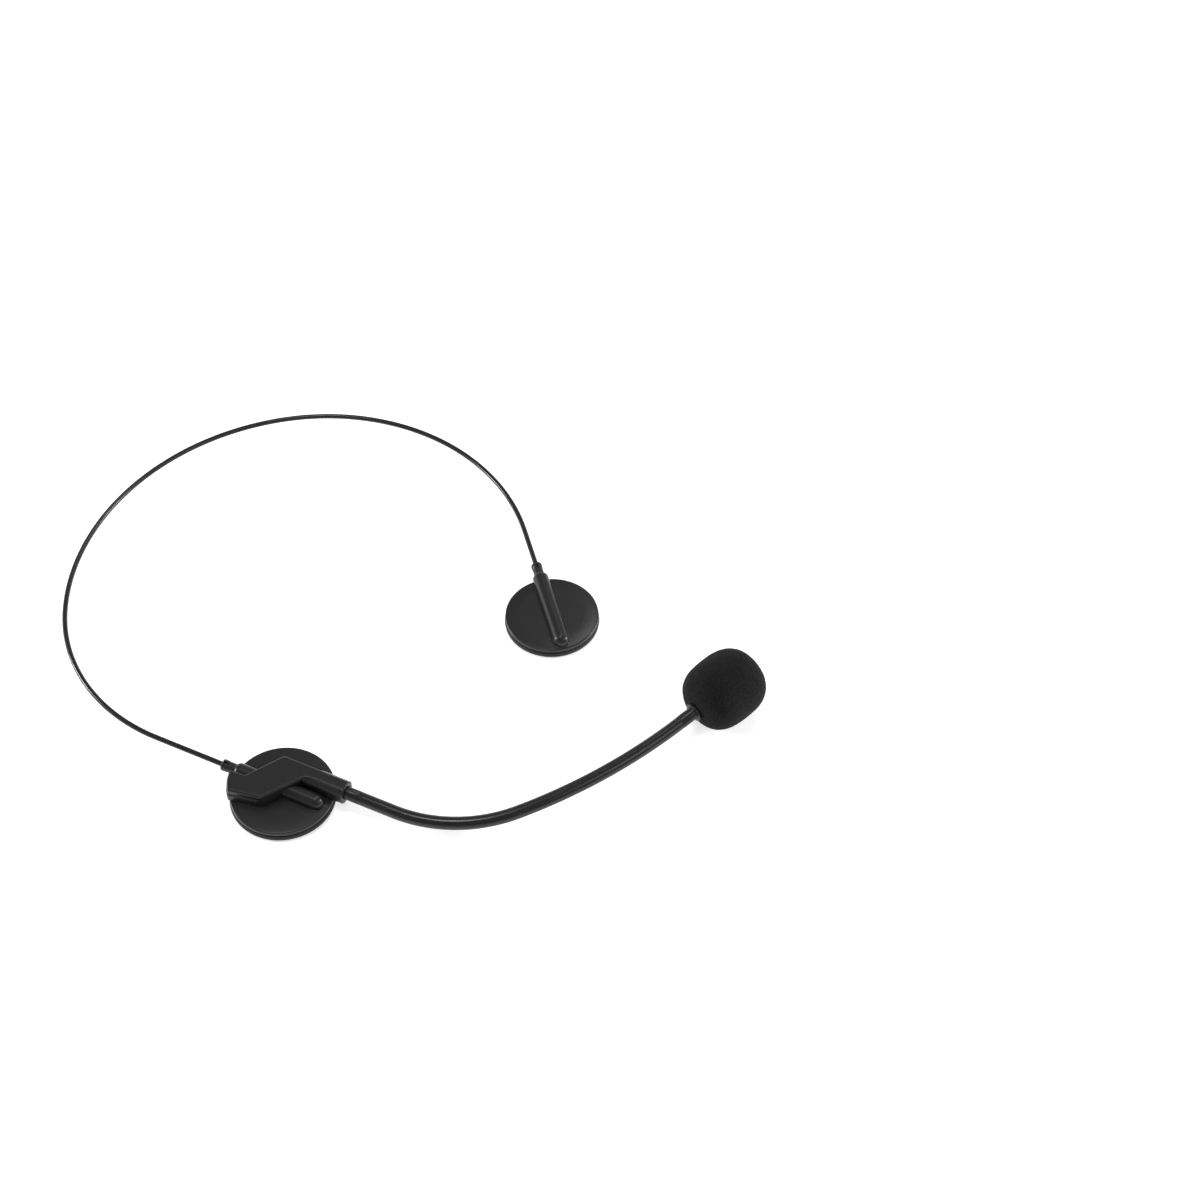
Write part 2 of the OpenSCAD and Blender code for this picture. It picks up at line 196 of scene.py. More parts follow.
# dim walls behind the camera, brighter ones ahead of it, and a dim ceiling
WALL_NEAR, WALL_AHEAD, CEILING = 0.36, 0.9, 0.32
sky = wire_up(tree, "ShaderNodeTexCoord").outputs["Generated"]
ahead = wire_up(tree, "ShaderNodeVectorMath", operation="DOT_PRODUCT")
tree.links.new(sky, ahead.inputs[0])
ahead.inputs[1].default_value = towards(VIEW_AZIMUTH + math.pi, 0)
walls = wire_up(tree, "ShaderNodeMapRange", value=ahead.outputs["Value"], to_min=WALL_NEAR, to_max=WALL_AHEAD)
walls.inputs["From Min"].default_value, walls.inputs["From Max"].default_value = -0.8, 0.9
height = wire_up(tree, "ShaderNodeSeparateXYZ", vector=sky)
ceiling = wire_up(tree, "ShaderNodeMapRange", value=height.outputs["Z"], to_min=0.0, to_max=1.0)
ceiling.inputs["From Min"].default_value, ceiling.inputs["From Max"].default_value = 0.05, 0.65
level = wire_up(tree, "ShaderNodeMix")
for socket, value in (("Factor", ceiling.outputs[0]), ("A", walls.outputs[0])):
    tree.links.new(value, level.inputs[socket])
level.inputs["B"].default_value = CEILING
glow = wire_up(tree, "ShaderNodeBackground", color=level.outputs[0], strength=1.0)
tree.links.new(glow.outputs[0], wire_up(tree, "ShaderNodeOutputWorld").inputs["Surface"])
scene.view_settings.view_transform = "Standard"


# ---------- materials ----------

BLUE_TINT = 1.02


def material(name, colour, roughness, **more):
    """A new node material with its Principled node; colours are grey levels in linear light."""
    mat = bpy.data.materials.new(name)
    mat.use_nodes = True
    shader = mat.node_tree.nodes["Principled BSDF"]
    shader.inputs["Base Color"].default_value = (colour, colour, colour * BLUE_TINT, 1)
    shader.inputs["Roughness"].default_value = roughness
    for key, value in more.items():
        shader.inputs[key.replace("_", " ")].default_value = value
    return mat


def grain(mat, size, depth, colour=None, roughness=None, detail=3.0, kind="noise"):
    """Gives a material a fine grain: a bump, and a range of colour and of roughness where one is given.

    The bump's size and depth are in millimetres. Its kind is noise or cells.
    """
    tree = mat.node_tree
    shader = tree.nodes["Principled BSDF"]
    place = wire_up(tree, "ShaderNodeTexCoord").outputs["Object"]
    scale = 1 / (size * MM)
    if kind == "noise":
        pattern = wire_up(tree, "ShaderNodeTexNoise", vector=place, scale=scale, detail=detail).outputs["Fac"]
    else:
        pattern = wire_up(tree, "ShaderNodeTexVoronoi", vector=place, scale=scale).outputs["Distance"]
    bump = wire_up(tree, "ShaderNodeBump", height=pattern, distance=depth * MM, strength=1.0)
    tree.links.new(bump.outputs[0], shader.inputs["Normal"])
    for socket, limits in (("Base Color", colour), ("Roughness", roughness)):
        if limits:
            spread = wire_up(tree, "ShaderNodeMapRange", value=pattern, to_min=limits[0], to_max=limits[1])
            spread.inputs["From Min"].default_value, spread.inputs["From Max"].default_value = 0.3, 0.7
            tree.links.new(spread.outputs[0], shader.inputs[socket])


hard_black = material("moulded_black", 0.0125, 0.3, Specular_IOR_Level=0.34)
grain(hard_black, 0.35, 0.010, roughness=(0.27, 0.35))
gloss_black = material("sleeve_black", 0.009, 0.24, Specular_IOR_Level=0.42)
grain(gloss_black, 4.0, 0.03, roughness=(0.2, 0.28), detail=1.0)
cushion_black = material("cushion_black", 0.013, 0.7, Specular_IOR_Level=0.4)
grain(cushion_black, 0.45, 0.05, colour=(0.010, 0.017), roughness=(0.6, 0.8), kind="cells")
foam_black = material("foam_black", 0.0075, 0.95,
                      Sheen_Weight=0.01, Sheen_Roughness=0.6, Specular_IOR_Level=0.2)
grain(foam_black, 0.5, 0.16, colour=(0.003, 0.0105), kind="cells")
tape_black = material("tape_black", 0.012, 0.6)
grain(tape_black, 0.4, 0.02)
spring_steel = material("spring_steel", 0.42, 0.3, Metallic=1.0)
grain(spring_steel, 0.3, 0.004, roughness=(0.24, 0.4))
capsule_metal = material("capsule_metal", 0.6, 0.35, Metallic=1.0)
grain(capsule_metal, 0.3, 0.004, roughness=(0.3, 0.42))
# the floor glows a little, so that only a trace of each shadow is left on it
floor_white = material("floor_white", 0.9, 0.9,
                       Specular_IOR_Level=0.0, Emission_Color=(1, 1, 1, 1), Emission_Strength=0.5)
grain(floor_white, 3.0, 0.01)


# ---------- making meshes ----------


def make(name, points, faces, mat, body, slot, nodes, place=None):
    """A smooth-shaded piece from points in millimetres, which rides on a body and stands for CAD nodes."""
    mesh = bpy.data.meshes.new(name)
    mesh.from_pydata((np.asarray(points) * MM).tolist(), [], faces)
    mesh.update()
    mesh.shade_smooth()
    mesh.set_sharp_from_angle(angle=math.radians(50))
    mesh.materials.append(mat)
    if place is not None:
        mesh.transform(place)
    piece = bpy.data.objects.new(name, mesh)
    scene.collection.objects.link(piece)
    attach(piece, body)
    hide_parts(*nodes)
    return piece


def surface_net(shape, low, high, cell):
    """Points and faces of the surface where shape(points) is zero, inside a box that is cut into cubic cells.

    One point goes into each cell that the surface crosses, and is then drawn onto the exact surface.
    """
    step, passes, least_slope = cell / 20, 4, 0.2
    low, high = np.array(low, float), np.array(high, float)
    counts = np.ceil((high - low) / cell).astype(int) + 1
    ticks = [low[i] + cell * np.arange(counts[i]) for i in range(3)]
    field = shape(np.stack(np.meshgrid(*ticks, indexing="ij"), -1))
    total, hits = np.zeros((*(counts - 1), 3)), np.zeros(counts - 1)
    crossings = []
    for axis in range(3):
        first = np.moveaxis(np.moveaxis(field, axis, 0)[:-1], 0, axis)
        second = np.moveaxis(np.moveaxis(field, axis, 0)[1:], 0, axis)
        spots = np.argwhere((first < 0) != (second < 0))
        a, b = first[tuple(spots.T)], second[tuple(spots.T)]
        points = low + cell * spots
        points[:, axis] += cell * a / (a - b)
        u, v = (axis + 1) % 3, (axis + 2) % 3
        around = []
        for du, dv in ((0, 0), (1, 0), (1, 1), (0, 1)):
            at = spots.copy()
            at[:, u] -= du
            at[:, v] -= dv
            around.append(at)
            np.add.at(total, tuple(at.T), points)
            np.add.at(hits, tuple(at.T), 1)
        crossings.append((a < 0, np.stack(around, 1)))
    number = np.full(hits.shape, -1)
    used = np.argwhere(hits > 0)
    number[tuple(used.T)] = np.arange(len(used))
    points = total[tuple(used.T)] / hits[tuple(used.T)][:, None]
    faces = []
    for outward, around in crossings:
        quads = number[tuple(np.moveaxis(around, -1, 0))]
        faces.append(np.where(outward[:, None], quads, quads[:, ::-1]))
    for _ in range(passes):
        slope = np.stack([shape(points + offset) - shape(points - offset) for offset in step * np.eye(3)], -1)
        slope /= 2 * step
        move = (shape(points) / np.maximum((slope**2).sum(-1), least_slope))[:, None] * slope
        points -= np.clip(move, -cell / 2, cell / 2)
    return points, np.concatenate(faces).tolist()


def sweep(centres, across, along, radius, sides):
    """A tube along a line of points, closed at its ends. across and along span each section's plane."""
    angles = 2 * np.pi * np.arange(sides) / sides
    ring = np.cos(angles)[None, :, None] * across[:, None] + np.sin(angles)[None, :, None] * along[:, None]
    points = (centres[:, None] + radius * ring).reshape(-1, 3)
    faces = []
    for i, j in itertools.product(range(len(centres) - 1), range(sides)):
        k = (j + 1) % sides
        faces.append((i * sides + j, i * sides + k, (i + 1) * sides + k, (i + 1) * sides + j))
    last = (len(centres) - 1) * sides
    faces.append(tuple(range(sides))[::-1])
    faces.append(tuple(range(last, last + sides)))
    return points, faces


def turn(outline, segments=96):
    """A solid turned round z from (radius, height) points; radius 0 at both ends closes it."""
    rows, points = [], []
    for radius, height in outline:
        if radius < 1e-6:
            rows.append([len(points)] * segments)
            points.append((0, 0, height))
        else:
            rows.append(list(range(len(points), len(points) + segments)))
            for i in range(segments):
                a = 2 * math.pi * i / segments
                points.append((radius * math.cos(a), radius * math.sin(a), height))
    faces = []
    for lower, upper in itertools.pairwise(rows):
        for i in range(segments):
            j = (i + 1) % segments
            face = list(dict.fromkeys([lower[i], lower[j], upper[j], upper[i]]))
            if len(face) > 2:
                faces.append(face)
    return points, faces


def eased(corners, steps=5):
    """An outline with each (x, y, round) corner turned into an arc of that radius."""
    points = []
    for i, (x, y, r) in enumerate(corners):
        here = np.array((x, y), float)
        before = np.array(corners[i - 1][:2]) - here
        after = np.array(corners[(i + 1) % len(corners)][:2]) - here
        before, after = before / np.linalg.norm(before), after / np.linalg.norm(after)
        if r == 0:
            points.append(tuple(here))
            continue
        half = math.acos(np.clip(before @ after, -1, 1)) / 2
        centre = here + r / math.sin(half) * (before + after) / np.linalg.norm(before + after)
        reach = r / math.tan(half)
        start, end = here + reach * before - centre, here + reach * after - centre
        sweep_by = math.atan2(start[0] * end[1] - start[1] * end[0], start @ end)
        for k in range(steps + 1):
            a = sweep_by * k / steps
            points.append((centre[0] + start[0] * math.cos(a) - start[1] * math.sin(a),
                           centre[1] + start[0] * math.sin(a) + start[1] * math.cos(a)))
    return points


# ---------- distance functions ----------


def dist(*parts):
    return np.sqrt(sum(p * p for p in parts))


def join(a, b, fillet):
    """Union with a fillet."""
    h = np.clip(0.5 + 0.5 * (b - a) / fillet, 0, 1)
    return b + (a - b) * h - fillet * h * (1 - h)


def cut(a, b, edge=0.15):
    """a without b, with a broken edge."""
    return -join(-a, b, edge)


def box2(x, y, half_x, half_y, r):
    """A rectangle with rounded corners."""
    qx, qy = np.abs(x) - half_x + r, np.abs(y) - half_y + r
    return np.minimum(np.maximum(qx, qy), 0) + dist(np.maximum(qx, 0), np.maximum(qy, 0)) - r


def disc(rho, z, radius, low, high, round_low, round_high):
    """A round plate between two heights, with a different rounding at each."""
    middle = (low + high) / 2
    return box2(rho, z - middle, radius, (high - low) / 2, np.where(z > middle, round_high, round_low))


def blend_to(x, start, end):
    """0 up to start, 1 from end on, smooth between them."""
    t = np.clip((x - start) / (end - start), 0, 1)
    return t * t * (3 - 2 * t)


def rod(x, rho, start, end, radius, ends):
    """A cylinder along x with rounded ends."""
    return box2(x - (start + end) / 2, rho, (end - start) / 2, radius, ends)


def outline_distance(x, y, outline):
    """Distance to a closed outline in the plane, less than zero inside."""
    best, inside = np.full(x.shape, 1e9), np.ones(x.shape)
    for (ax, ay), (bx, by) in zip(outline, outline[1:] + outline[:1]):
        ex, ey, wx, wy = bx - ax, by - ay, x - ax, y - ay
        t = np.clip((wx * ex + wy * ey) / (ex * ex + ey * ey), 0, 1)
        best = np.minimum(best, (wx - ex * t) ** 2 + (wy - ey * t) ** 2)
        above, below, left = y >= ay, y < by, ex * wy > ey * wx
        inside = np.where((above & below & left) | ~(above | below | left), -inside, inside)
    return inside * np.sqrt(best)


def raised(flat, z, low, high, r):
    """An outline raised between two heights, with its upper edge rounded."""
    qx, qy = flat + r, z - high + r
    top = np.minimum(np.maximum(qx, qy), 0) + dist(np.maximum(qx, 0), np.maximum(qy, 0)) - r
    return np.maximum(top, low - z)


CELL_PRIMES = np.array((73856093, 19349663, 83492791))
SEED_PRIME = 2654435761
NEXT_FACTOR, NEXT_ADD = 1664525, 1013904223
LOW_32, LOW_16 = 0xFFFFFFFF, 0xFFFF


def cell_noise(points, size, seed):
    """Distance, in cells, to the nearest of a set of scattered points, one to each cell of that size."""
    q = points / size
    base = np.floor(q).astype(np.int64)
    best = np.full(points.shape[:-1], 9.0)
    for step in itertools.product((-1, 0, 1), repeat=3):
        c = base + step
        mixed = (np.bitwise_xor.reduce(c * CELL_PRIMES, -1) ^ seed * SEED_PRIME) & LOW_32
        spot = []
        for _ in range(3):
            mixed = (mixed * NEXT_FACTOR + NEXT_ADD) & LOW_32
            mixed = mixed ^ (mixed >> 15)
            spot.append((mixed & LOW_16) / (LOW_16 + 1))
        best = np.minimum(best, ((q - c - np.stack(spot, -1)) ** 2).sum(-1))
    return np.sqrt(best)


# ---------- where things are ----------

AT_PLAIN_PAD = (
    Matrix.Translation(Vector((PLAIN_PAD[0], PLAIN_PAD[1], 0)) * MM)
    @ Matrix.Rotation(math.atan2(PLAIN_AXIS[1], PLAIN_AXIS[0]), 4, "Z")
)


def run(start, heading, stretches, spacing):
    """Points and headings along straights, each a length, and bends, each a radius and a turn in degrees."""
    points, headings = [np.array(start, float)], [heading]
    for stretch in stretches:
        if isinstance(stretch, tuple):
            radius, turn_by = stretch[0], math.radians(stretch[1])
            length = radius * abs(turn_by)
        else:
            length, turn_by = stretch, 0.0
        steps = max(2, round(length / spacing))
        here, first = points[-1], headings[-1]
        for i in range(1, steps + 1):
            h = first + turn_by * i / steps
            if turn_by:
                side = math.copysign(radius, turn_by)
                move = side * np.array((math.sin(h) - math.sin(first), math.cos(first) - math.cos(h)))
            else:
                move = length * i / steps * np.array((math.cos(first), math.sin(first)))
            points.append(here + move)
            headings.append(h)
    return np.array(points), np.array(headings)


COLLAR_TIP = TUBE_MOUTH + COLLAR_OUT
STOP_OUT = TUBE_MOUTH - COLLAR_SEAT
boom_points, boom_headings = run((SOCKET_MOUTH + FERRULE_OUT, 0), 0.0,
                                 [BOOM_STRAIGHT_TO - SOCKET_MOUTH - FERRULE_OUT, *BOOM_BENDS], spacing=0.8)
TIP, TIP_HEADING = boom_points[-1], boom_headings[-1]
foam_middle_y = TIP[1] + (FOAM_FOOT + FOAM_LEN / 2) * math.sin(TIP_HEADING)
BOOM_LIFT = math.asin((FOAM_D / 2 + TILT_RISE - SOCKET[2]) / foam_middle_y)
BOOM_PLANE = Matrix.Translation(Vector((0, SOCKET[1], SOCKET[2])) * MM) @ Matrix.Rotation(BOOM_LIFT, 4, "X")
AT_TIP = (
    BOOM_PLANE
    @ Matrix.Translation(Vector((TIP[0], TIP[1], 0)) * MM)
    @ Matrix.Rotation(TIP_HEADING, 4, "Z")
    @ Matrix.Rotation(math.pi / 2, 4, "Y")
)


# ---------- headband ----------


def flat_sweep(name, points, headings, radius, sides, z, **rest):
    """A round wire along a line in a level plane."""
    centres = np.column_stack([points, np.full(len(points), z)])
    across = np.column_stack([-np.sin(headings), np.cos(headings), np.zeros(len(points))])
    up = np.tile((0.0, 0.0, 1.0), (len(points), 1))
    return make(name, *sweep(centres, across, up, radius, sides), **rest)


into_pad = COLLAR_TIP - STOP_OUT + END_PLAY
ring_points, ring_headings = run(
    (-STOP_OUT + END_PLAY, 0), math.pi,
    [into_pad + RING_STRAIGHTS[0], *((r, -t) for r, t in RING_BENDS), RING_STRAIGHTS[1] + into_pad],
    spacing=1.6)
flat_sweep("ring_sleeve", ring_points, ring_headings, WIRE_SLEEVE_D / 2, 28, TUBE_Z,
           mat=gloss_black, body="band", slot="gloss_sleeve", nodes=["band_sleeve"])


# ---------- pads ----------

CROWN_DROP, CROWN_FROM = 0.5, 0.65  # how far a plate's rim has fallen, and where on its radius that begins
RIM_INSET = 0.3  # how far a plate's rim stands in from its cushion's


def crown_fall(rho, radius):
    """How far a pad's outer face has fallen away at a distance from its middle."""
    return CROWN_DROP * (np.clip(rho / radius - CROWN_FROM, 0, 1) / (1 - CROWN_FROM)) ** 2


def plate_shape(radius):
    """The pad's disc, which falls away a little towards its rim, and the tube moulded across it.

    The tube has a dome at one end and a round-shouldered mouth at the other; the underside is flat.
    """
    lower_round, upper_round, shoulder, fillet = 0.35, 0.4, 2.3, 0.25
    dome_x, bore_edge, overrun = TUBE_TIP - TUBE_D / 2, 0.1, 4

    def shape(p):
        x, y, z = p[..., 0], p[..., 1], p[..., 2]
        from_axis, rho = dist(y, z - TUBE_Z), dist(x, y)
        fall = crown_fall(rho, radius) * (z > PLATE_Z + 1)
        solid = disc(rho, z + fall, radius - RIM_INSET, PLATE_Z, PLATE_TOP, lower_round, upper_round)
        tube = np.minimum(rod(x, from_axis, -TUBE_MOUTH, dome_x, TUBE_D / 2, shoulder),
                          dist(np.maximum(np.abs(x - dome_x / 2) - dome_x / 2, 0), from_axis) - TUBE_D / 2)
        solid = np.maximum(join(solid, tube, fillet), PLATE_Z - z)
        seat = rod(x, from_axis, -TUBE_MOUTH - overrun, -STOP_OUT, SEAT_D / 2 + SEAT_FIT, bore_edge)
        bore = rod(x, from_axis, -STOP_OUT - 1, WIRE_END, WIRE_BORE_D / 2, bore_edge)
        return cut(solid, np.minimum(seat, bore))

    return shape


def collar_shape(p):
    """A split bush: a lipped end, a slight waist, a slot on top for the wire, and its seat in the tube."""
    lip_len, waist_by, waist_depth, end_round, overrun = 1.6, 3.2, 0.15, 0.5, 4
    slot_len, slot_half, slot_round, slot_out = 3.0, 0.42, 0.4, 2
    x, y, z = p[..., 0], p[..., 1], p[..., 2] - TUBE_Z
    rho = dist(y, z)
    waist = waist_depth * blend_to(x, -COLLAR_TIP + lip_len, -COLLAR_TIP + waist_by)
    outside = rod(x, rho, -COLLAR_TIP, -TUBE_MOUTH + END_PLAY, COLLAR_D / 2 - waist, end_round)
    seat = rod(x, rho, -TUBE_MOUTH - 1, -STOP_OUT, SEAT_D / 2 - SEAT_FIT, 0.15)
    bore = rod(x, rho, -COLLAR_TIP - overrun, -STOP_OUT + overrun, WIRE_SLEEVE_D / 2 + RUN_FIT, 0.1)
    solid = cut(join(outside, seat, 0.2), bore, 0.25)
    slot = box2(x + COLLAR_TIP + slot_out, y, slot_len + slot_out, slot_half, slot_round)
    return cut(solid, np.maximum(slot, -z), 0.3)


def cushion_shape(radius):
    """A soft disc: its side bulges a little and its edges are rolled."""
    bulge_depth, lower_round, upper_round = 0.25, 1.0, 0.45

    def shape(p):
        x, y, z = p[..., 0], p[..., 1], p[..., 2]
        bulge = bulge_depth * (1 - ((z - CUSHION_H / 2) / (CUSHION_H / 2)) ** 2)
        return disc(dist(x, y), z, radius - bulge_depth + bulge, 0, CUSHION_H, lower_round, upper_round)

    return shape


def pad_radius(name):
    """A pad's radius, from its adhesive disc in the frame."""
    low, high = node_box(name + "_tape")
    return (high - low)[0] / 2 + TAPE_INSET


def pad(name, place):
    """The plate, collar and cushion of one pad."""
    radius, margin = pad_radius(name), 0.9
    edge = np.array((max(radius, TUBE_MOUTH), radius, 0))
    low, high = -edge - margin, edge + margin
    plate_low, plate_high = low + (0, 0, PLATE_Z), high + (0, 0, TUBE_Z + TUBE_D / 2)
    collar_half = 3
    rest = dict(mat=hard_black, body=name, slot="hard_black", place=place)
    make(name + "_plate_moulded",
         *surface_net(plate_shape(radius), plate_low, plate_high, cell=0.28),
         nodes=[name + "_plate"], **rest)
    make(name + "_collar_split",
         *surface_net(collar_shape, (-COLLAR_TIP - 0.5, -collar_half, TUBE_Z - collar_half),
                      (-STOP_OUT + 0.5, collar_half, TUBE_Z + collar_half), cell=0.14),
         nodes=[name + "_collar"], **rest)
    rest.update(mat=cushion_black, slot="cushion_foam")
    cushion = make(name + "_cushion_soft",
                   *surface_net(cushion_shape(radius), low, high + (0, 0, CUSHION_H), cell=0.3),
                   nodes=[name + "_cushion"], **rest)


pad("boom_pad", Matrix.Identity(4))
pad("plain_pad", AT_PLAIN_PAD)


# ---------- bracket ----------

FOOT_R = 20.8
FOOT_ANGLES = [math.radians(a) for a in range(213, 192, -4)]
FOOT_ARC = [(FOOT_R * math.cos(a), FOOT_R * math.sin(a), 0) for a in FOOT_ANGLES]
ARM_FAR, ARM_NEAR = SOCKET[1] + 2.4, SOCKET[1] - 2.5
ARM_FROM = 4.5
PAST_MOUTH = SOCKET_MOUTH + 3  # the plan runs on to here, and is cut off flat at the socket's mouth
BOOM_PAD_R = pad_radius("boom_pad")
BRACKET_PLAN = eased([
    (-16.6, -12.5, 0.5), *FOOT_ARC, (-20.3, -4.3, 0.6),
    (-13.9, -4.0, 2.0), (-4.6, ARM_FAR, 1.4), (PAST_MOUTH, ARM_FAR, 0), (PAST_MOUTH, ARM_NEAR, 0),
    (7.5, ARM_NEAR, 3.0), (-3.3, -10.1, 0.6)])
BRACKET_LOW = -22, -14.5, PLATE_TOP - 3  # a corner below and outside the bracket


def arm_section(x, ay, az):
    """The arm's section: round-shouldered on top, square below up to the mouth, swelling on the far side."""
    half, shoulder, root_half, lower_round = SOCKET_D / 2, 3.3, 2.8, 0.8
    far_side = root_half + (half - root_half) * blend_to(x, ARM_FROM, 14)
    side = np.where(ay > 0, far_side, half)
    below = lower_round + (shoulder - lower_round) * blend_to(x, SOCKET_MOUTH - 8, SOCKET_MOUTH - 2)
    return box2(ay, az, side, half, np.minimum(np.where(az > 0, shoulder, below), side - 0.01))


def bracket_shape(p):
    """The Z: a foot flush with the disc's edge, a wide bar over the tube, an arm with the boom's socket."""
    swell, top_round, near_round, tube_gap, rim_gap = 0.5, 1.0, 2.4, 0.15, 0.2
    step_swell, step_down, step_to_x, step_to_y = 0.9, 3.0, -4.5, -4.4
    x, y, z = p[..., 0], p[..., 1], p[..., 2]
    rho = dist(x, y)
    flat = outline_distance(x, y, BRACKET_PLAN)
    plate = PLATE_TOP - crown_fall(rho, BOOM_PAD_R)
    edge = top_round + (near_round - top_round) * blend_to(x, 7, 15) * (y < SOCKET[1])
    solid = raised(flat - swell, z, plate, BRACKET_TOP, edge)
    step = raised(flat - step_swell, z, plate, BRACKET_TOP - step_down, 0.3)
    solid = join(solid, np.maximum(step, np.maximum(x - step_to_x, y - step_to_y)), 0.25)
    ay, az = y - SOCKET[1], z - SOCKET[2]
    solid = join(solid, np.maximum(arm_section(x, ay, az), ARM_FROM - x), 0.2)
    # only past the plate's rim does the arm reach below the plate's face
    solid = np.maximum(solid, np.minimum(plate - z, BOOM_PAD_R + rim_gap - rho))
    solid = cut(solid, SOCKET_MOUTH - x, 0.4)
    channel = np.minimum(dist(y, z - TUBE_Z) - TUBE_D / 2 - tube_gap,
                         np.maximum(np.abs(y) - TUBE_D / 2 - tube_gap, z - TUBE_Z))
    solid = cut(solid, channel, 0.2)
    from_axis = dist(ay, az)
    wide = rod(x, from_axis, DISC_CLEAR - END_PLAY, SOCKET_MOUTH + 8, BOOM_D / 2 + RUN_FIT, 0.1)
    narrow = rod(x, from_axis, SOCKET_MOUTH - SOCKET_DEPTH, DISC_CLEAR + 1, PIN_D / 2 + RUN_FIT, 0.1)
    return cut(solid, np.minimum(wide, narrow), 0.2)


make("boom_bracket_moulded",
     *surface_net(bracket_shape, BRACKET_LOW, node_box("boom_bracket")[1] + 1.0, cell=0.24),
     mat=hard_black, body="boom_pad", slot="hard_black", nodes=["boom_bracket"])


# ---------- boom ----------


def boom_sweep(name, points, headings, radius, sides, **rest):
    """A round tube along a line in the boom's plane."""
    flat_sweep(name, points, headings, radius, sides, 0.0, place=BOOM_PLANE, **rest)


boom_sweep("boom_sleeve_swept", boom_points, boom_headings, BOOM_D / 2, 40,
           mat=gloss_black, body="boom", slot="gloss_sleeve", nodes=["boom_sleeve"])


def ring_of(radius, heights_and_sizes):
    """Outline points at a base radius, each given as a height and how far it stands proud."""
    return [(radius + proud, height) for height, proud in heights_and_sizes]


ALONG_SOCKET = BOOM_PLANE @ Matrix.Rotation(math.pi / 2, 4, "Y")
pin_from, ferrule_to = SOCKET_MOUTH - SOCKET_DEPTH + END_PLAY, SOCKET_MOUTH + FERRULE_OUT
make("boom_ferrule_turned",
     *turn([(0, pin_from),
            *ring_of(PIN_D / 2, [(pin_from, -0.3), (pin_from + 0.3, 0), (DISC_CLEAR, 0)]),
            *ring_of(BOOM_D / 2, [
                (DISC_CLEAR, -0.25), (DISC_CLEAR + 0.2, 0), (SOCKET_MOUTH + 0.6, 0), (ferrule_to - 0.15, 0),
                (ferrule_to, -0.1)]),
            (0, ferrule_to)]),
     mat=hard_black, body="boom", slot="hard_black", nodes=["boom_ferrule"], place=ALONG_SOCKET)
make("mic_neck_turned",
     *turn([(0, 0.02), *ring_of(BOOM_D / 2, [
         (0.02, -0.1), (0.17, 0), (NECK_LEN - 0.3, 0), (NECK_LEN, 0.1)]), (0, NECK_LEN)]),
     mat=hard_black, body="boom", slot="hard_black", nodes=["mic_neck"], place=AT_TIP)


# ---------- microphone ----------

flange_top = NECK_LEN + FLANGE_H
housing_end = flange_top + HOUSING_LEN
grille_base = housing_end - GRILLE_H
GROOVES, GROOVE_PITCH, GROOVE_W, GROOVE_DEPTH = 3, 1.6, 0.7, 0.2


def housing_outline():
    """Flange, stem with shallow grooves that hold the foam, and the open front with its wall."""
    points = [(0, NECK_LEN), (FLANGE_D / 2 - 0.3, NECK_LEN), (FLANGE_D / 2 - 0.08, NECK_LEN + 0.08),
              (FLANGE_D / 2, NECK_LEN + 0.3), (FLANGE_D / 2, flange_top - 0.3),
              (FLANGE_D / 2 - 0.08, flange_top - 0.08), (FLANGE_D / 2 - 0.3, flange_top)]
    r = HOUSING_D / 2
    points += [(r + 0.1, flange_top), (r, flange_top + 0.1)]
    for i in range(GROOVES):
        z, floor_r = flange_top + 3.0 + GROOVE_PITCH * i, r - GROOVE_DEPTH
        points += [(r, z), (floor_r, z + 0.15), (floor_r, z + GROOVE_W - 0.15), (r, z + GROOVE_W)]
    mouth_r = CAPSULE_D / 2 + SEAT_FIT
    points += [(r, housing_end - 0.5), (r - 0.1, housing_end - 0.15), (r - 0.3, housing_end),
               (mouth_r + 0.1, housing_end), (mouth_r, housing_end - 0.1), (mouth_r, grille_base - CAPSULE_H),
               (0, grille_base - CAPSULE_H)]
    return points


make("capsule_housing_turned", *turn(housing_outline()),
     mat=hard_black, body="boom", slot="hard_black", nodes=["capsule_housing"], place=AT_TIP)


def grille_shape(p):
    """A disc with one hole in the middle and a ring of them round it."""
    hole_r, hole_ring, ring_count = 0.45, 1.9, 6
    x, y, z = p[..., 0], p[..., 1], p[..., 2]
    solid = disc(dist(x, y), z, CAPSULE_D / 2, grille_base, housing_end, 0.05, 0.2)
    holes = dist(x, y) - hole_r
    for i in range(ring_count):
        a = 2 * math.pi * i / ring_count
        holes = np.minimum(holes, dist(x - hole_ring * math.cos(a), y - hole_ring * math.sin(a)) - hole_r)
    return cut(solid, holes, 0.15)


grille_margin = 0.3
grille_half = CAPSULE_D / 2 + grille_margin
make("capsule_grille_drilled",
     *surface_net(grille_shape, (-grille_half, -grille_half, grille_base - grille_margin),
                  (grille_half, grille_half, housing_end + grille_margin), cell=0.1),
     mat=hard_black, body="boom", slot="hard_black", nodes=["capsule_grille"], place=AT_TIP)


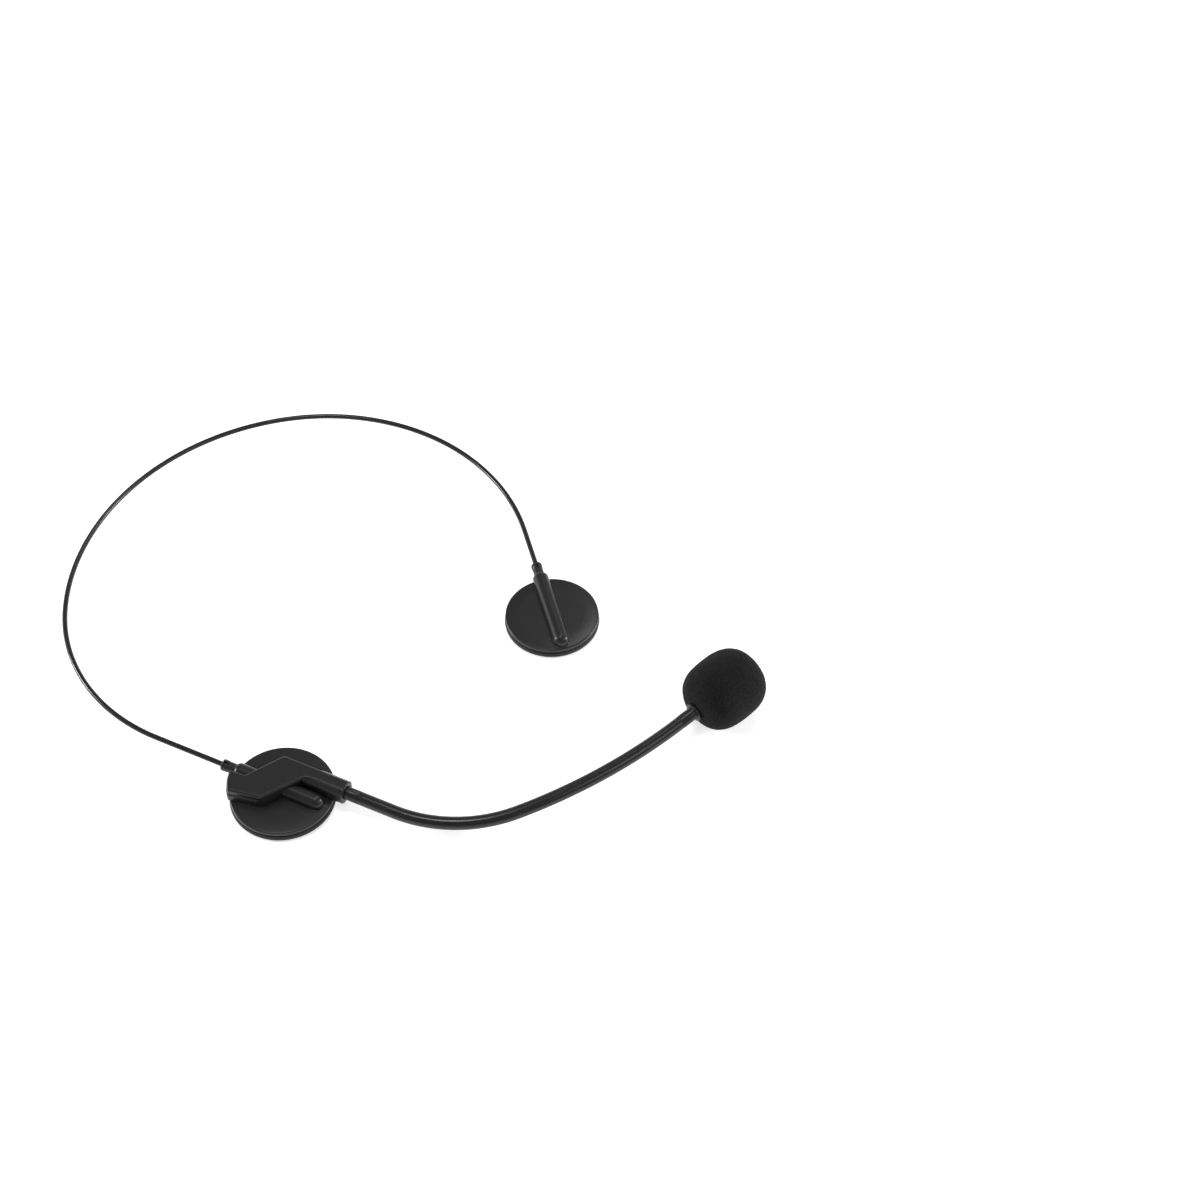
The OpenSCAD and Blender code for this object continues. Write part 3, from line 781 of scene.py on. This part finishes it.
def foam_shape(p):
    """A squarish barrel of open-cell foam, with a rolled-in mouth for the housing and pores all over."""
    pore_cell, pore_width, pore_depth, skin = 0.85, 0.36, 0.17, 0.9
    lump_cell, lump_middle, lump_depth = 4.2, 0.55, 0.14
    middle = FOAM_FOOT + FOAM_LEN / 2
    x, y, z = p[..., 0], p[..., 1], p[..., 2] - middle
    rho = dist(x, y)
    n = FOAM_SQUARE
    size = ((rho / (FOAM_D / 2)) ** n + (np.abs(z) / (FOAM_LEN / 2)) ** n) ** (1 / n)
    solid = (size - 1) * FOAM_D / 2
    bore = np.maximum(rho - HOUSING_D / 2 - RUN_FIT, z - (housing_end + 2 - middle))
    solid = cut(solid, bore)
    near = np.abs(solid) < skin
    close = p[near]
    pores = np.exp(-((cell_noise(close, pore_cell, seed=5) / pore_width) ** 2))
    lumps = cell_noise(close, lump_cell, seed=11)
    solid[near] += pore_depth * pores + lump_depth * (lump_middle - lumps)
    return solid


foam_margin = 0.6
foam_half = FOAM_D / 2 + foam_margin
foam = make("windscreen_foam",
            *surface_net(foam_shape, (-foam_half, -foam_half, FOAM_FOOT - foam_margin),
                         (foam_half, foam_half, FOAM_FOOT + FOAM_LEN + foam_margin), cell=0.3),
            mat=foam_black, body="windscreen", slot="windscreen_foam", nodes=["windscreen"], place=AT_TIP)


# ---------- what the part's own meshes need, the floor, and the end ----------

for node, mat in (("band_wire", spring_steel), ("wire_stop_boom_side", spring_steel),
                  ("wire_stop_plain_side", spring_steel), ("boom_core", spring_steel),
                  ("mic_capsule", capsule_metal), ("boom_pad_tape", tape_black),
                  ("plain_pad_tape", tape_black)):
    frame["nodes"][node].material_slots[0].material = mat

FLOOR_HALF = 3.0
FLOOR_GAP = 0.0002  # keeps the floor's face off the cushions'
floor_mesh = bpy.data.meshes.new("floor")
floor_mesh.from_pydata([(x, y, 0) for x, y in ((-1, -1), (1, -1), (1, 1), (-1, 1))], [], [(0, 1, 2, 3)])
floor_mesh.transform(Matrix.Scale(FLOOR_HALF, 4))
floor_mesh.materials.append(floor_white)
floor = bpy.data.objects.new("floor", floor_mesh)
floor.location = (0, 0, cad_box[0].z - FLOOR_GAP)
scene.collection.objects.link(floor)

bpy.context.view_layer.update()
